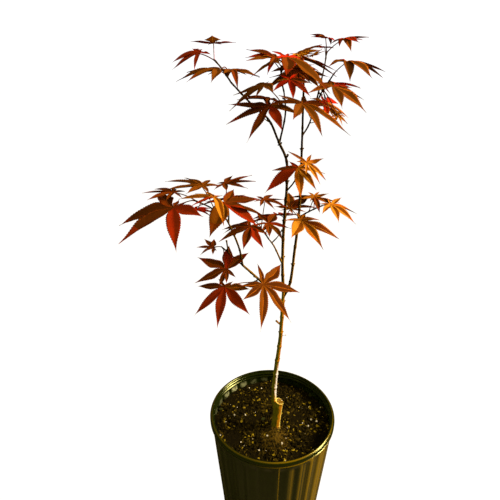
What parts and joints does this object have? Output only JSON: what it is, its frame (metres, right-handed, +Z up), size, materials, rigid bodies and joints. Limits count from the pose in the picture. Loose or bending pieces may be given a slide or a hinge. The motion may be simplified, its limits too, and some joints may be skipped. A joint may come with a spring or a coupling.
{
  "type": "potted japanese maple",
  "caption": "Young grafted japanese maple with red and orange lobed leaves, standing in a black fluted nursery pot of soil.",
  "frame": {"origin": "middle of the pot's flat underside", "axes": "+Z up along the pot's axis, +X to the right of the front view, -Y towards the viewer at the front"},
  "size_m": [0.2472, 0.2048, 0.6194],
  "materials": {
    "pot_plastic": "satin, moulded",
    "soil": "crumbly potting mix with bark bits and white grit",
    "bark": "smooth grey-brown bark with fine lines",
    "young_bark": "smooth dark young bark",
    "leaf_dark": "leaf, dark maroon to olive",
    "leaf_red": "leaf, maroon to bright red",
    "leaf_orange": "leaf, orange to orange-brown"
  },
  "bodies": {
    "root": {"pot": "pot_plastic", "soil": "soil", "trunk": "bark", "leader_left": "young_bark", "leader_right": "young_bark", "bough_upper_left": "young_bark", "bough_upper_middle": "young_bark", "bough_upper_right": "young_bark", "bough_lower_left": "young_bark", "bough_left_rise": "young_bark", "bough_left_tip": "young_bark", "bough_centre": "young_bark", "foliage_top_left": "leaf_dark", "foliage_top_front": "leaf_dark", "foliage_top_centre": "leaf_red", "foliage_top_right_high": "leaf_red", "foliage_top_right": "leaf_orange", "foliage_right_front": "leaf_orange", "foliage_right_crest": "leaf_red", "foliage_middle_right_high": "leaf_orange", "foliage_middle_right": "leaf_orange", "foliage_middle_centre": "leaf_dark", "foliage_centre_left": "leaf_dark", "foliage_left_far": "leaf_dark", "foliage_left_near": "leaf_red", "foliage_low_left": "leaf_dark", "foliage_low_front": "leaf_orange"}
  },
  "joints": []
}
